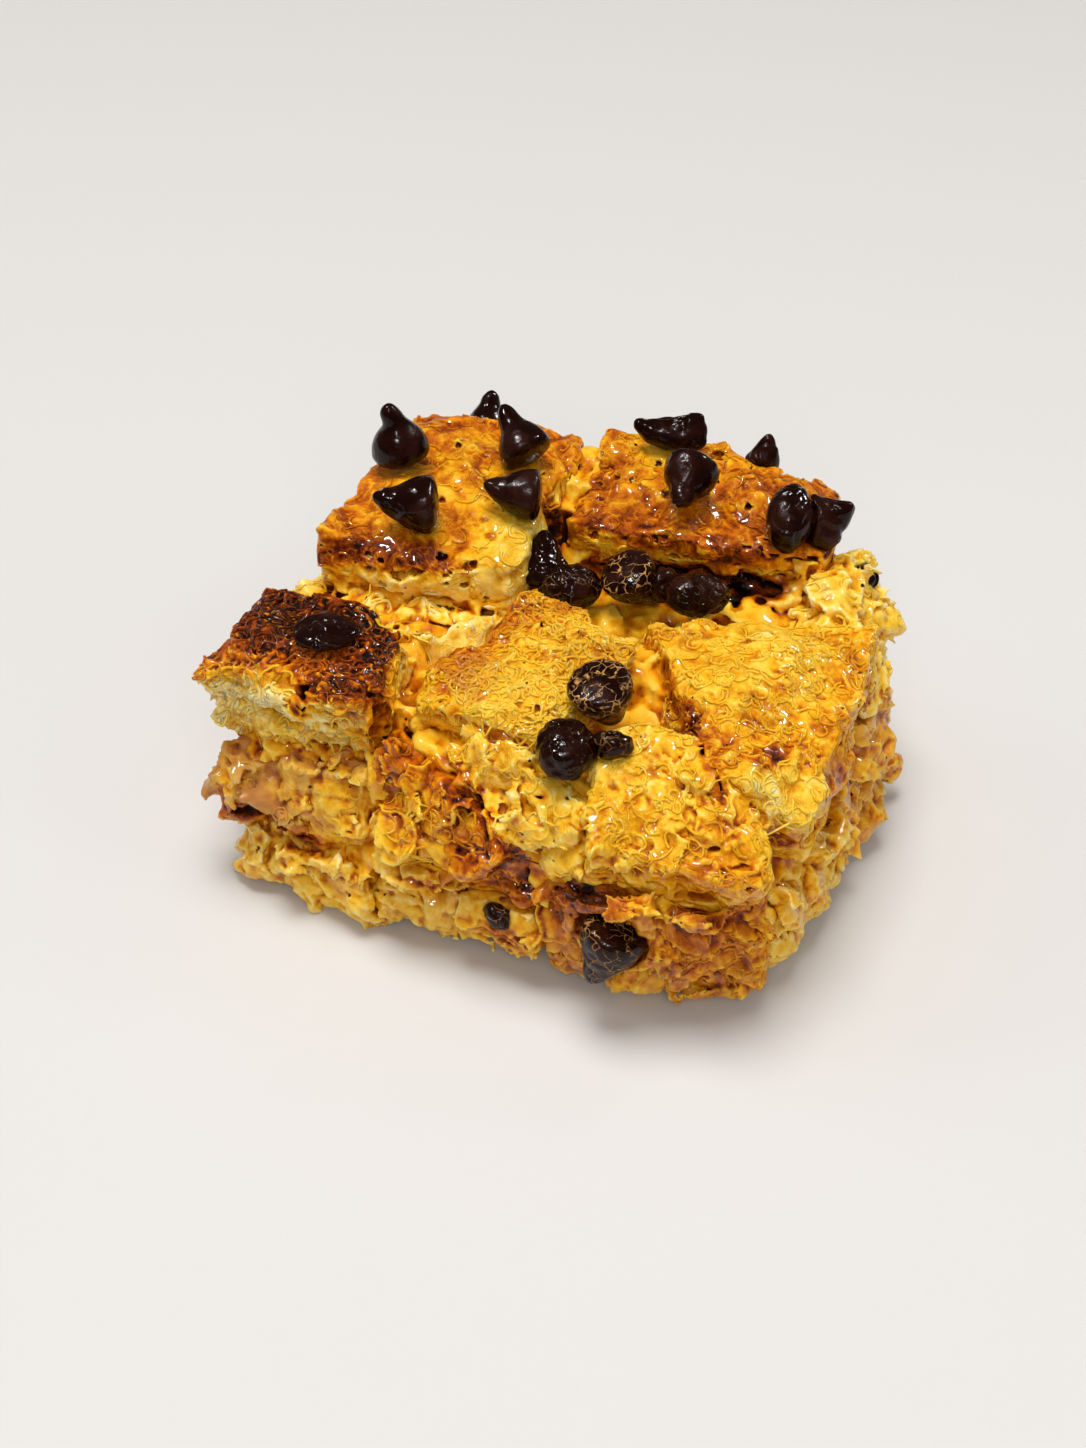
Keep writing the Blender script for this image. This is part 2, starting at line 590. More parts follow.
def torn_crumb_tree(title, between_bread):
    """The tree for bread, or for the custard between it, which is the body with the bread taken out."""
    tree, w, given, result = new_tree(
        title, "GeometryNodeTree",
        [("Core", SHAPE), ("Chips", THING), ("Bread", THING), ("Hollows", THING), ("Finish", FINISH)]
        + FIELD_SOCKETS + [(name, NUMBER) for name in TEAR_NUMBERS], [("Piece", SHAPE)])
    core, grain = given["Core"], given["Grain"]
    here = w.node("GeometryNodeInputPosition").outputs[0]
    up = w.split(here)[2]
    from_chips = w.nearest(shape_of(w, given["Chips"]))["Distance"]
    loose = w.times(w.span(from_chips, *WANDER_FROM_CHIP), w.span(up, *WANDER_FROM_FLOOR))
    spot = here
    for size, reach in WANDERS:
        spot = w.moved(spot, w.wobble(here, size, 0.0, w.times(loose, 2 * reach)))
    away, outward = distance_from(w, core, spot)
    shown, crust, _ = w.split(w.sampled(core, w.named("marks", "FLOAT_VECTOR"), spot, "FLOAT_VECTOR"))
    calm = w.minus(1.0, w.times(crust, given["Crust calm"]))

    shift = w.node("ShaderNodeCombineXYZ", {0: given["Seed"], 1: w.times(given["Seed"], 1.7)})
    place = w.moved(here, shift.outputs[0])
    lumps = w.centred(w.noise(place, given["Lump size"]), given["Lump depth"])

    slow_warp = w.wobble(place, SLOW_WARP[0], 1.0, SLOW_WARP[1])
    fine_warp = w.wobble(place, FINE_WARP_SIZE, 1.0, given["Fray"])
    ragged = w.moved(w.moved(place, slow_warp), fine_warp)
    petals = w.plus(
        petals_of(w, ragged, outward, given["Petal size"], given["Petal depth"]),
        petals_of(w, ragged, outward, w.times(given["Petal size"], SMALL_PETAL),
                  w.times(given["Petal depth"], SMALL_PETAL_DEPTH)))

    ridge = w.span(strand_wave(w, place, given["Strand size"], given["Curl"]), STRAND_EDGE, 0.0)
    combing = w.span(w.noise(place, STRAND_PATCH, 1.0), *STRAND_PATCHES)
    strands = w.times(w.minus(ridge, STRAND_LEVEL), w.times(given["Strand depth"], combing))

    loud = w.times(shown, w.span(from_chips, 0.0, *QUIET_BY_CHIP, 1.0))
    rough = w.times(w.plus(w.times(petals, calm), lumps), loud)
    body = w.minus(w.plus(rough, w.times(strands, shown)), away)
    body = w.plus(body, given["Grown"])

    flat = w.vector("MULTIPLY", w.moved(place, w.scaled(fine_warp, PORE_FRAY)), FLAT_PORES)
    bubble = w.cells(flat, given["Pore size"])
    chance = w.split(bubble["Color"])[0]
    radius = w.times(w.math("POWER", chance, FEW_LARGE_PORES), w.times(given["Pore share"], BIGGEST_PORE))
    hole = w.times(w.minus(bubble["Distance"], radius), given["Pore size"])
    too_deep = w.math("LESS_THAN", away, PORE_REACH)
    crusted = w.times(w.times(crust, given["Crust calm"]), CRUST_OVER_PORES)
    hole = w.plus(hole, w.plus(w.times(too_deep, NO_PORES), crusted))
    body = w.math("MINIMUM", body, hole)

    gaps = shape_of(w, given["Hollows"])
    ragged_here = w.moved(w.moved(here, w.scaled(slow_warp, HOLLOW_WANDER)),
                          w.scaled(fine_warp, HOLLOW_FRAY))
    from_hollow = distance_from(w, gaps, ragged_here)[0]
    body = w.math("MINIMUM", body, w.plus(from_hollow, w.times(rough, HOLLOW_ROUGHNESS)))
    if between_bread:
        from_bread = distance_from(w, shape_of(w, given["Bread"]), spot)[0]
        body = w.math("MINIMUM", body, w.plus(from_bread, BREAD_OVERLAP))
    skin = cloud_skin(w, w.math("MINIMUM", body, w.minus(up, FLOOR_LEVEL)), given)

    island = w.node("GeometryNodeInputMeshIsland").outputs["Island Index"]
    count = w.node("GeometryNodeAccumulateField", {"Value": 1, "Group ID": island}, data_type="INT",
                   domain="POINT").outputs["Total"]
    crumbs = w.node("FunctionNodeCompare", {"A": count, "B": SMALLEST_ISLAND}, data_type="INT",
                    operation="LESS_THAN").outputs[0]
    shape = w.node("GeometryNodeDeleteGeometry", {"Geometry": skin, "Selection": crumbs},
                   domain="POINT").outputs[0]
    dark = w.sampled(gaps, w.named("dark", "FLOAT"), ragged_here, "FLOAT")
    pit = w.times(w.span(from_hollow, PIT_SHADE, 0.0), dark)
    for name, value in (("crust", crust), ("shown", shown), ("pit", pit),
                        ("rise", rise(w, here, grain, RISE_STEPS)),
                        ("fine_rise", rise(w, here, grain, FINE_RISE_STEPS))):
        shape = w.node("GeometryNodeStoreNamedAttribute", {"Geometry": shape, "Name": name, "Value": value},
                       data_type="FLOAT", domain="POINT").outputs[0]
    w.feed(result[0], finished(w, shape, given["Finish"]))
    return tree


TORN_CRUMB = torn_crumb_tree("Torn crumb", False)
CUSTARD_BETWEEN = torn_crumb_tree("Custard between bread", True)
print("torn crumb tree", len(TORN_CRUMB.nodes), "nodes")

# %% [markdown]
# ## Kinds of tear
# The same tree makes every kind of surface, and the numbers decide which: a toasted slab is calm on
# its crust and full of bubbles at its side, a curly cube is all strands, and a torn side is petals.
# The sizes are in millimetres here, because that is how a baker would judge them. Pairs are a size and
# a depth, or for the pores a size and a share.

# %% Kinds of tear
TEARS = {
    "toast": dict(grain=0.34, lump=(9, 0.7), petal=(6.0, 0.25), fray=0.5, strand=(1.4, 0.22), curl=0.6,
                  pore=(1.8, 1.60), calm=0.5, net=0.6),
    "charred": dict(grain=0.32, lump=(6, 0.7), petal=(4.5, 0.5), fray=0.5, strand=(1.1, 0.60), curl=0.4,
                    pore=(2.2, 0.7), calm=0.3, net=1.5),
    "curly": dict(grain=0.32, lump=(7, 1.2), petal=(5.0, 0.2), fray=0.3, strand=(1.6, 0.70), curl=1.1,
                  pore=(2.4, 0.6), calm=0.0, net=0.9),
    "wormy": dict(grain=0.34, lump=(6, 0.9), petal=(6.0, 0.35), fray=0.3, strand=(2.0, 0.42), curl=1.4,
                  pore=(2.4, 0.5), calm=0.0, net=0.5),
    "sheet": dict(grain=0.34, lump=(10, 0.7), petal=(7.0, 0.25), fray=0.3, strand=(1.3, 0.34), curl=1.1,
                  pore=(2.0, 0.7), calm=0.3, net=0.9),
    "torn": dict(grain=0.36, lump=(6, 1.7), petal=(9.0, 1.7), fray=0.28, strand=(1.8, 0.20), curl=0.8,
                 pore=(2.6, 0.5), calm=0.0, net=0.30),
    "soft": dict(grain=0.36, lump=(6, 1.7), petal=(8.0, 1.0), fray=0.25, strand=(2.2, 0.26), curl=1.0,
                 pore=(2.4, 0.4), calm=0.0, net=0.40),
    "hidden": dict(grain=0.46, lump=(7, 1.0), petal=(7.0, 1.3), fray=0.5, strand=(1.8, 0.2), curl=0.8,
                   pore=(2.6, 0.4), calm=0.3, net=0.25),
    "custard": dict(grain=0.72, lump=(6, 1.2), petal=(7.0, 1.2), fray=0.4, strand=(1.8, 0.1), curl=0.8,
                    pore=(2.6, 0.2), calm=0.0, net=0.2),
}
SEED_STEP = 0.137
print(len(TEARS), "kinds of tear")

# %% [markdown]
# A tree is used as a modifier on a short-lived worker object, and what comes out is kept as a plain
# mesh. The field is laid over the core's own box, with room for what grows out of it.

# %% From a core to a torn piece


def shaped(worker, tree, values):
    """The mesh that a Geometry Nodes tree makes of the worker, with the values in the named sockets."""
    change = worker.modifiers.new(tree.name, "NODES")
    change.node_group = tree
    for socket in tree.interface.items_tree:
        if socket.in_out == "INPUT" and socket.name in values:
            value = values[socket.name]
            change[socket.identifier] = [float(v) for v in value] if socket.socket_type == ARROW else value
    return settled(worker)


def field_over(points, margin, grain):
    """The box and the cells of a field over the points."""
    low, high = points.min(0) - margin, points.max(0) + margin
    cells = {f"Cells {axis}": int(v) for axis, v in zip("XYZ", (high - low) / grain)}
    return {"Low": low, "High": high, "Grain": grain, **cells}


def torn(core, name, tear, seed, finish, tree=TORN_CRUMB, grown=GROWN):
    """The torn piece that grows from a core."""
    kind = TEARS[tear]
    values = {
        "Fray": kind["fray"] * MM, "Curl": kind["curl"], "Pore size": kind["pore"][0] * MM,
        "Pore share": kind["pore"][1], "Crust calm": kind["calm"], "Seed": seed * SEED_STEP,
        "Finish": finish, "Grown": grown, "Chips": all_chips, "Bread": all_bread, "Hollows": hollows,
    }
    for form in ("lump", "petal", "strand"):
        values[form.capitalize() + " size"] = kind[form][0] * MM
        values[form.capitalize() + " depth"] = kind[form][1] * MM
    values.update(field_over(points_of(core), FIELD_MARGIN, kind["grain"] * MM))
    return shaped(worker_from(core, name), tree, values)


# %% [markdown]
# ## Colours of baking
# Bread browns from cream through yellow, gold and orange to brown and black, always in that order.
# One number, the bake, therefore gives the colour of every bread surface, through one colour ramp.
# Two more things change it: bread that soaked up syrup turns tan, and hollows look darker and
# deeper in colour, because light bounces between their walls.

# %% The colour of baked bread
BAKE_COLOURS = (
    (0.00, (240, 220, 156)),
    (0.14, (244, 208, 100)),
    (0.28, (242, 192, 56)),
    (0.42, (232, 166, 22)),
    (0.55, (212, 128, 10)),
    (0.66, (184, 92, 4)),
    (0.76, (144, 60, 3)),
    (0.86, (94, 31, 2)),
    (0.93, (54, 17, 2)),
    (1.00, (18, 6, 2)),
)
SOAKED = (176, 112, 62)
HOLLOW_TINT = (140, 62, 10)
SPECK = (46, 16, 5)


def linear(colour):
    """A colour given in the 0 to 255 steps of a screen, as the light that it stands for."""
    steps = [v / 255 for v in colour]
    return tuple(v / 12.92 if v < 0.04045 else ((v + 0.055) / 1.055) ** 2.4 for v in steps) + (1.0,)


def ramp(w, value, stops):
    """A colour ramp with the given stops."""
    made = w.node("ShaderNodeValToRGB")
    band = made.color_ramp
    while len(band.elements) < len(stops):
        band.elements.new(1.0)
    for element, (place, colour) in zip(band.elements, stops):
        element.position = place
        element.color = linear(colour)
    w.feed(made.inputs[0], value)
    return made.outputs[0]


def blend(w, way, share, first, second):
    """Mixes two colours."""
    inputs = {"Factor": share, "A": first, "B": second}
    return w.node("ShaderNodeMix", inputs, data_type="RGBA", blend_type=way).outputs["Result"]


BROAD_PATCH = 6.0 * MM
FINE_PATCH = 0.9 * MM
FINE_MOTTLE = 0.45
PALER_BY_RISE = (("Fine rise", 1.50), ("Rise", 0.28), ("Strands", 0.26))
HOLLOW_RISE = (0.02, -0.55)


def baked_colour_group():
    """The colour for a bake, paler where the surface stands out, and how hollow each place is."""
    tree, w, given, result = new_tree(
        "Baked colour", "ShaderNodeTree",
        [("Place", ARROW), ("Bake", NUMBER), ("Soak", NUMBER), ("Rise", NUMBER), ("Fine rise", NUMBER),
         ("Mottle", NUMBER), ("Strands", NUMBER)],
        [("Color", COLOUR)])
    broad = w.centred(w.noise(given["Place"], BROAD_PATCH, 4.0, 0.6), given["Mottle"])
    fine = w.centred(w.noise(given["Place"], FINE_PATCH, 2.0, 1.0), w.times(given["Mottle"], FINE_MOTTLE))
    bake = w.plus(w.plus(given["Bake"], broad), fine)
    for lifted, paler in PALER_BY_RISE:
        bake = w.minus(bake, w.times(given[lifted], paler))
    colour = ramp(w, bake, BAKE_COLOURS)
    soaked = w.times(given["Soak"], w.span(w.noise(given["Place"], 5 * MM, 2.0), 0.3, 0.65))
    colour = blend(w, "MIX", soaked, colour, linear(SOAKED))
    hollow = w.span(given["Rise"], *HOLLOW_RISE)
    w.feed(result["Color"], blend(w, "MULTIPLY", hollow, colour, linear(HOLLOW_TINT)))
    return tree


def speck_group():
    """Small dark vanilla and crust specks, scattered over a share of the cells."""
    tree, w, given, result = new_tree(
        "Dark specks", "ShaderNodeTree",
        [("Place", ARROW), ("Apart", NUMBER), ("Share", NUMBER)], [("Mask", NUMBER)])
    ripple = w.noise(given["Place"], 1.0 * MM, 1.0, 0.0, "Color")
    cell = w.cells(w.moved(given["Place"], w.scaled(ripple, 0.5 * MM)), given["Apart"])
    chance = w.split(cell["Color"])[0]
    radius = w.times(w.minus(given["Share"], chance), 0.45)
    edge = w.minus(w.math("MINIMUM", radius, 0.12), cell["Distance"])
    w.feed(result["Mask"], w.span(edge, -0.02, 0.03))
    return tree


def strand_group():
    """The fine net of raised strands that is too small for the mesh."""
    tree, w, given, result = new_tree(
        "Fine strands", "ShaderNodeTree",
        [("Place", ARROW), ("Size", NUMBER), ("Curl", NUMBER), ("Net", NUMBER)],
        [("Height", NUMBER), ("Ridge", NUMBER)])
    wave = strand_wave(w, given["Place"], given["Size"], given["Curl"])
    combing = w.span(w.noise(given["Place"], 6 * MM, 1.0), 0.40, 0.58, 0.15, 1.0)
    ridge = w.times(w.span(wave, 0.6, 0.0), w.times(combing, given["Net"]))
    pitted = w.noise(given["Place"], 1.4 * MM, 2.0)
    w.feed(result["Height"], w.plus(ridge, w.times(pitted, 1.2)))
    w.feed(result["Ridge"], ridge)
    return tree


BAKED_COLOUR = baked_colour_group()
DARK_SPECKS = speck_group()
FINE_STRANDS = strand_group()
print("colour groups for", len(BAKE_COLOURS), "steps of baking")

# %% [markdown]
# A finish reads the numbers that the mesh carries, which are bake, soak, rise and net, and adds what is
# too small for a mesh: specks, fine strands as bumps, and patches that are wetter than others.

# %% Finishes for bread and custard


STRAND_CURL = 1.6
SPECKS_APART = 2.6 * MM
GLOSS_PATCH = 6 * MM
BREAD_SHADER = {"Coat Roughness": 0.08, "Specular IOR Level": 0.06, "Subsurface Weight": 0.25,
                "Subsurface Radius": (1.0, 0.5, 0.12), "Subsurface Scale": 1.6 * MM}


def new_finish(name):
    """A material with its wiring and its Principled shader."""
    made = bpy.data.materials.new(name)
    made.use_nodes = True
    return made, Wiring(made.node_tree), made.node_tree.nodes["Principled BSDF"]


def fill(w, node, values):
    """Feeds the named inputs of a node, and hands back its outputs."""
    for name, value in values.items():
        w.feed(node.inputs[name], value)
    return node.outputs


def placed(w, group, values):
    """A node group in a material, with its inputs filled."""
    return fill(w, w.node("ShaderNodeGroup", node_tree=group), values)


def attribute(w, name):
    """A number that the mesh carries at each point."""
    return w.node("ShaderNodeAttribute", attribute_name=name).outputs["Fac"]


def bread_finish(name, mottle, strand_size, relief, specks, gloss, roughness):
    """A finish for bread or custard: baked colour, dark specks, raised strands and wet patches."""
    made, w, shader = new_finish(name)
    place = w.node("ShaderNodeTexCoord").outputs["Object"]
    strands = placed(w, FINE_STRANDS, {"Place": place, "Size": strand_size, "Curl": STRAND_CURL,
                                       "Net": attribute(w, "net")})
    colour = placed(w, BAKED_COLOUR, {
        "Place": place, "Bake": attribute(w, "bake"), "Soak": attribute(w, "soak"),
        "Rise": attribute(w, "rise"), "Fine rise": attribute(w, "fine_rise"), "Mottle": mottle,
        "Strands": strands["Ridge"]})["Color"]
    dots = placed(w, DARK_SPECKS, {"Place": place, "Apart": SPECKS_APART, "Share": specks})["Mask"]
    bump = w.node("ShaderNodeBump", {"Strength": 1.0, "Distance": relief, "Height": strands["Height"]})
    patches = w.noise(place, GLOSS_PATCH, 3.0)
    fill(w, shader, {
        "Base Color": blend(w, "MIX", dots, colour, linear(SPECK)), "Normal": bump.outputs[0],
        "Roughness": w.span(patches, 0.35, 0.65, roughness, roughness - 0.15),
        "Coat Weight": w.span(patches, 0.40, 0.60, 0.3 * gloss, gloss), **BREAD_SHADER})
    return made


GOLDEN_CRUST = bread_finish("golden_crust", 0.34, 0.9 * MM, 0.22 * MM, 0.30, 0.9, 0.50)
DARK_CRUST = bread_finish("dark_crust", 0.20, 0.8 * MM, 0.30 * MM, 0.0, 0.4, 0.55)
CRUMB = bread_finish("bread_crumb", 0.28, 0.9 * MM, 0.22 * MM, 0.46, 0.9, 0.48)
CUSTARD = bread_finish("custard", 0.16, 1.0 * MM, 0.14 * MM, 0.30, 1.0, 0.42)
SLOT_FINISH = {"golden_crust": GOLDEN_CRUST, "dark_crust": DARK_CRUST, "bread_crumb": CRUMB,
               "custard": CUSTARD}
print("finishes", ", ".join(SLOT_FINISH))

# %% [markdown]
# ## The bread
# Each row below says how one piece was torn and baked: the kind of tear, how baked its torn sides
# are, how baked its crust is and where the crust faces, how much darker the crust's edge is, and how
# much syrup it took up. A dab changes one spot, given as shares of the piece's own box, with a
# radius in millimetres. Numbers by name are easier to change than paint on a mesh.

# %% How each piece is torn and baked


def bread(tear, crumb, crust=None, way=(0, 0, 1), spread=(0.45, 0.85), rim=0.0, soak=0.0, swell=0.0,
          dabs=()):
    """One row of the table: a kind of tear, a bake for the crumb and the crust, and the rest."""
    return dict(tear=tear, crumb=crumb, crust=crumb if crust is None else crust, way=way, spread=spread,
                rim=rim, soak=soak, swell=swell, dabs=dabs)


def dab(x, y, z, radius, bake=None, soak=None):
    """A spot in a node's box with its own bake or soak, which fades out over the radius in mm."""
    return dict(at=(x, y, z), radius=radius, bake=bake, soak=soak)


def band(start, end, radius, bake, count, soak=None):
    """A row of dabs from one place to another."""
    start, end = np.array(start), np.array(end)
    return [dab(*(start + (end - start) * share), radius, bake, soak) for share in np.linspace(0, 1, count)]


BREAD = {
    "toast_slab_left": bread("toast", 0.24, 0.62, (-0.05, -0.1, 1), (0.40, 0.82), 0.36, dabs=(
        *band((0.0, 0.01, 0.60), (0.62, 0.12, 0.70), 2.5, 0.90, 8),
        dab(0.10, 0.62, 1.0, 5, 0.82), dab(0.0, 0.3, 0.9, 6, 0.76),
        dab(0.45, 0.33, 1.0, 7, 0.50), dab(0.35, 0.60, 1.0, 7, 0.54), dab(1.0, 0.35, 0.7, 9, 0.26),
        dab(0.8, 0.95, 0.9, 7, 0.66), dab(0.5, 1.0, 1.0, 6, 0.72), dab(0.25, 0.85, 1.0, 5, 0.72))),
    "toast_slab_right": bread("toast", 0.36, 0.68, (0, -0.1, 1), (0.40, 0.82), 0.36, dabs=(
        *band((0.12, 0.03, 0.76), (0.96, 0.37, 0.60), 2.3, 0.90, 12),
        dab(0.0, 0.15, 0.5, 7, 0.84), dab(0.25, 0.85, 1.0, 7, 0.42), dab(0.25, 0.35, 0.9, 5, 0.60),
        dab(0.9, 0.3, 0.9, 7, 0.74), dab(0.6, 0.6, 1.0, 7, 0.64))),
    "dark_crust_cube": bread("charred", 0.32, 0.95, (-0.25, -0.2, 1), (0.20, 0.48), dabs=(
        dab(0.05, 0.75, 1.0, 9, 0.98), dab(0.35, 1.0, 1.0, 8, 0.96), dab(0.65, 0.40, 1.0, 6, 0.84),
        dab(0.0, 0.2, 0.85, 7, 0.88), dab(0.0, 0.3, 0.4, 6, 0.74), dab(0.45, 0.0, 0.62, 5, 0.0, 0.15),
        dab(0.14, 0.0, 0.55, 5, 0.0, 0.15), dab(0.75, 0.0, 0.55, 4, 0.06, 0.15),
        dab(0.95, 0.3, 0.9, 5, 0.86), dab(0.4, 0.0, 0.15, 4, 0.34, 0.0))),
    "curly_cube": bread("curly", 0.37, 0.38, dabs=(
        dab(0.0, 0.45, 0.5, 8, 0.84), dab(0.12, 0.8, 0.8, 6, 0.76), dab(0.5, 1.0, 0.9, 5, 0.60),
        dab(0.9, 0.6, 0.8, 5, 0.52), dab(0.1, 0.1, 0.5, 5, 0.56))),
    "wide_slab_right": bread("sheet", 0.42, 0.46, (0, -0.1, 1), dabs=(
        dab(0.0, 0.85, 0.9, 8, 0.66), dab(1.0, 0.4, 0.8, 8, 0.70), dab(0.60, 0.15, 0.8, 5, 0.56),
        dab(0.9, 0.8, 0.8, 5, 0.60), dab(0.78, 0.16, 0.85, 4, 0.74), dab(0.85, 0.03, 0.7, 6, 0.20),
        dab(0.6, 0.7, 1.0, 7, 0.34))),
    "near_corner_cube": bread("wormy", 0.44, 0.46, dabs=(
        dab(0.75, 0.15, 0.8, 5.0, 0.76), dab(0.9, 0.05, 0.5, 5, 0.60), dab(0.3, 0.6, 0.9, 8, 0.38))),
    "torn_corner_shred": bread("torn", 0.62, soak=0.2, dabs=(dab(0.5, 0.3, 0.9, 5, 0.80),)),
    "pale_slab_under_toast": bread("soft", 0.26, dabs=(dab(0.2, 0.1, 0.8, 6, 0.40),)),
    "leaning_slice": bread("soft", 0.36, dabs=(dab(0.05, 0.3, 0.9, 5, 0.46),)),
    "crusted_slice_front": bread("torn", 0.42, 0.64, (0.2, -0.2, 1), rim=0.06, dabs=(
        dab(0.95, 0.1, 0.30, 8, 0.85), dab(0.1, 0.2, 0.9, 7, 0.70), dab(0.70, 0.0, 0.5, 5, 0.70))),
    "left_front_cube": bread("soft", 0.40, soak=0.9, dabs=(
        *band((0.08, 0.05, 0.22), (0.68, 0.05, 0.18), 2.3, 0.92, 5, 0.0),
        dab(0.90, 0.1, 0.55, 6, 0.46, 0.0), dab(0.0, 0.5, 0.5, 6, 0.72))),
    "bottom_slice_left": bread("torn", 0.36, soak=0.1, swell=0.9),
    "low_front_wedge": bread("torn", 0.38, soak=0.2, swell=0.5, dabs=(dab(0.8, 0.0, 0.5, 4, 0.80),)),
    "near_corner_crumb": bread("torn", 0.50, soak=0.4, dabs=(dab(0.4, 0.0, 0.8, 9, 0.82, 0.1),)),
    "right_cube_low": bread("torn", 0.38, soak=0.1, swell=-0.5),
    "right_cube_back": bread("torn", 0.50, soak=0.3, swell=-0.3),
    "right_back_corner": bread("torn", 0.30, dabs=(dab(0.9, 0.3, 0.9, 5, 0.45),)),
    "left_cube_low": bread("hidden", 0.42, 0.66, (-1, 0, 0), soak=0.3),
    "left_cube_back": bread("hidden", 0.40, 0.66, (-1, 0, 0), soak=0.2),
    "back_cube_left": bread("hidden", 0.38, 0.58, (0, 1, 0), soak=0.2),
    "back_cube_right": bread("hidden", 0.38, 0.56, (0, 1, 0), soak=0.2),
}
print(len(BREAD), "rows of bread")

# %% [markdown]
# A dab with a clean round edge would look like a sticker. So the points are first pushed about by a
# slow ripple, a sum of sines that needs no texture, and the dab's edge wanders with it.

# %% Baking and handing over
RIPPLE_SIZES = (5.0, 2.1)
RIPPLE_REACH = 0.22
PIT_BAKE = 0.96
PIT_SHARE = 0.95


def rippled(points):
    """The points moved by a slow, uneven ripple."""
    moved = points.copy()
    for size in RIPPLE_SIZES:
        angles = points / (size * MM)
        reach = RIPPLE_REACH * size * MM
        moved[:, 0] += reach * np.sin(angles[:, 1] * 1.3 + np.sin(angles[:, 2]))
        moved[:, 1] += reach * np.sin(angles[:, 2] * 1.1 + np.sin(angles[:, 0] * 1.2))
        moved[:, 2] += reach * np.sin(angles[:, 0] * 1.2 + np.sin(angles[:, 1]))
    return moved


def paint(mesh, node, row):
    """Stores how baked and how soaked each point is."""
    points = rippled(points_of(mesh))
    crust = marked(mesh, "crust")
    edge = (4 * crust * (1 - crust)) ** 2
    bake = row["crumb"] + (row["crust"] - row["crumb"]) * crust + row["rim"] * edge
    soak = np.full(len(points), row["soak"])
    low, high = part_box(node)
    for spot in row["dabs"]:
        centre = np.array([a + (b - a) * share for a, b, share in zip(low, high, spot["at"])])
        near = np.exp(-(np.linalg.norm(points - centre, axis=1) / (spot["radius"] * MM)) ** 2)
        if spot["bake"] is not None:
            bake += (spot["bake"] - bake) * near
        if spot["soak"] is not None:
            soak += (spot["soak"] - soak) * near
    pit = marked(mesh, "pit") * PIT_SHARE
    bake += (PIT_BAKE - bake) * pit
    soak *= 1 - pit
    mark(mesh, "bake", bake)
    mark(mesh, "soak", soak)
    mark(mesh, "net", np.full(len(points), TEARS[row["tear"]]["net"]))


def hand_over(piece, slot, *nodes):
    """The piece rides on the pudding and stands for its nodes."""
    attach(piece, "root")
    if nodes:
        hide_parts(*nodes)
    return piece


# %% [markdown]
# Now the pieces of bread are made one after the other. While they grow, they have to know where the
# chips and the hollows are, and the custard also has to know where the bread is. So copies of all
# three stay in the scene until the custard is made.

# %% Growing the bread
all_chips = joined_copy(CHIP_NODES, "all_chips")
all_bread = joined_copy(BREAD_NODES, "all_bread")
pieces = {}
for seed, (node, row) in enumerate(BREAD.items()):
    neighbours = [other for other in SOFT_NODES if other != node]
    core = core_of(node, neighbours, row["way"], row["spread"])
    grown = GROWN + row["swell"] * MM
    mesh = torn(core, node + "_crumb", row["tear"], seed + 1, SLOT_FINISH[SLOT_OF[node]], grown=grown)
    paint(mesh, node, row)
    pieces[node] = hand_over(worker_from(mesh, node + "_crumb"), SLOT_OF[node], node)
    print(f"{node:24s} {len(mesh.vertices):7d} points, {len(mesh.polygons):7d} faces")

# %% [markdown]
# ## Custard
# The custard sets in every groove between the bread. To find those grooves, all soft solids together
# are swelled by a few millimetres and shrunk back by as much: what a ball of that radius can't enter
# stays filled. The bread is then taken out of it, in the same wandering space.

# %% Custard
GROOVE_RADIUS = 2.6 * MM
FILL_GRAIN = 0.9 * MM
CUSTARD_SINK = -1.0 * MM


def swelling_tree():
    """The tree that grows or shrinks a closed shape."""
    tree, w, given, result = new_tree(
        "Swelling", "GeometryNodeTree", [("Core", SHAPE), ("Swell", NUMBER)] + FIELD_SOCKETS,
        [("Piece", SHAPE)])
    here = w.node("GeometryNodeInputPosition").outputs[0]
    away = distance_from(w, given["Core"], here)[0]
    w.feed(result[0], cloud_skin(w, w.minus(given["Swell"], away), given))
    return tree


SWELLING = swelling_tree()


def swelled(worker, reach):
    """The worker's mesh grown by the reach, or shrunk where the reach is below nought."""
    field = field_over(points_of(worker.data), max(reach, 0) + 2 * FILL_GRAIN, FILL_GRAIN)
    mesh = shaped(worker, SWELLING, {"Swell": reach, **field})
    mark_arrows(mesh, "outward", normals_of(mesh))
    return mesh


def custard_core():
    """All the soft solids with the grooves between them filled."""
    swollen = swelled(joined_copy(SOFT_NODES, "all_soft"), GROOVE_RADIUS)
    filled = swelled(worker_from(swollen, "swollen"), -GROOVE_RADIUS)
    mark_arrows(filled, "marks", np.tile((1.0, 0.0, 1.0), (len(filled.vertices), 1)))
    return filled


core = custard_core()
print("custard core", len(core.vertices), "points")
custard_row = bread("custard", 0.44)
mesh = torn(core, "custard_body", "custard", 0, CUSTARD, CUSTARD_BETWEEN, CUSTARD_SINK)
paint(mesh, "custard_block", custard_row)
pieces["custard_block"] = hand_over(worker_from(mesh, "custard_body"), "custard", "custard_block")
print("custard", len(mesh.polygons), "faces")
for gauge in (all_chips, all_bread, hollows):
    bpy.data.objects.remove(gauge, do_unlink=True)

# %% [markdown]
# ## Seams
# Syrup gathers where two pieces meet, and it browns there. Space is cut into small cells, and each
# point counts in how many cells around it another piece also has points.

# %% Darker seams
SEAM_CELL = 0.6 * MM
SEAM_BAKE = 0.84
SEAM_SHARE = 0.8


